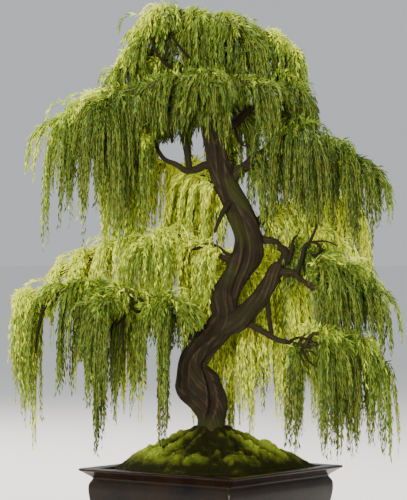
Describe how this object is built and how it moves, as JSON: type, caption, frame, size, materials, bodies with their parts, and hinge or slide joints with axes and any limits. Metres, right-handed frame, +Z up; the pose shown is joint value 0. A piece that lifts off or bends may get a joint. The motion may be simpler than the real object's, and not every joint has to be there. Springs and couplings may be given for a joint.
{
  "type": "weeping willow bonsai",
  "caption": "Weeping willow grown as a bonsai: a twisting, tapering trunk with tiered boughs and curtains of hanging leafy twigs, on a moss mound in a square pot with a flared lip.",
  "frame": {"origin": "middle of the pot's flat underside, on the surface that it stands on", "axes": "+Z up along the tree, -Y towards the front of the tree, +X to the right seen from the front"},
  "size_m": [0.6061, 0.4459, 0.7872],
  "materials": {
    "bark": "rough furrowed dark brown bark",
    "leaf": "satin yellow-green narrow leaves",
    "moss": "soft matte cushion moss",
    "soil": "dark damp gritty potting soil",
    "pot_clay": "dark fired clay, satin"
  },
  "bodies": {
    "root": {"apex_back_bough": "bark", "apex_back_foliage_1": "leaf", "apex_left_bough": "bark", "apex_left_foliage_1": "leaf", "apex_right_bough": "bark", "apex_right_foliage_1": "leaf", "back_low_bough": "bark", "back_low_foliage_1": "leaf", "back_low_foliage_2": "leaf", "back_mid_bough": "bark", "back_mid_foliage_1": "leaf", "back_mid_foliage_2": "leaf", "back_right_bough": "bark", "back_right_foliage_1": "leaf", "back_upper_bough": "bark", "back_upper_foliage_1": "leaf", "back_upper_foliage_2": "leaf", "crown_tip_foliage_1": "leaf", "crown_tip_foliage_2": "leaf", "front_bough": "bark", "front_foliage_1": "leaf", "front_foliage_2": "leaf", "front_foliage_3": "leaf", "left_inner_bough": "bark", "left_inner_foliage_1": "leaf", "left_inner_foliage_2": "leaf", "left_low_bough": "bark", "left_low_foliage_1": "leaf", "left_low_foliage_2": "leaf", "left_low_foliage_3": "leaf", "left_low_foliage_4": "leaf", "left_mid_bough": "bark", "left_mid_foliage_1": "leaf", "left_mid_foliage_2": "leaf", "left_mid_foliage_3": "leaf", "left_upper_bough": "bark", "left_upper_foliage_1": "leaf", "left_upper_foliage_2": "leaf", "left_upper_foliage_3": "leaf", "moss_mound": "moss", "pot": "pot_clay", "right_bough": "bark", "right_fork_bough": "bark", "right_fork_foliage_1": "leaf", "right_fork_foliage_2": "leaf", "right_loop_bough": "bark", "right_loop_foliage_1": "leaf", "right_low_bough": "bark", "right_low_foliage_1": "leaf", "right_low_foliage_2": "leaf", "right_low_foliage_3": "leaf", "right_mid_bough": "bark", "right_mid_foliage_1": "leaf", "right_mid_foliage_2": "leaf", "right_mid_foliage_3": "leaf", "right_upper_bough": "bark", "right_upper_foliage_1": "leaf", "right_upper_foliage_2": "leaf", "soil": "soil", "trunk": "bark"}
  },
  "joints": []
}
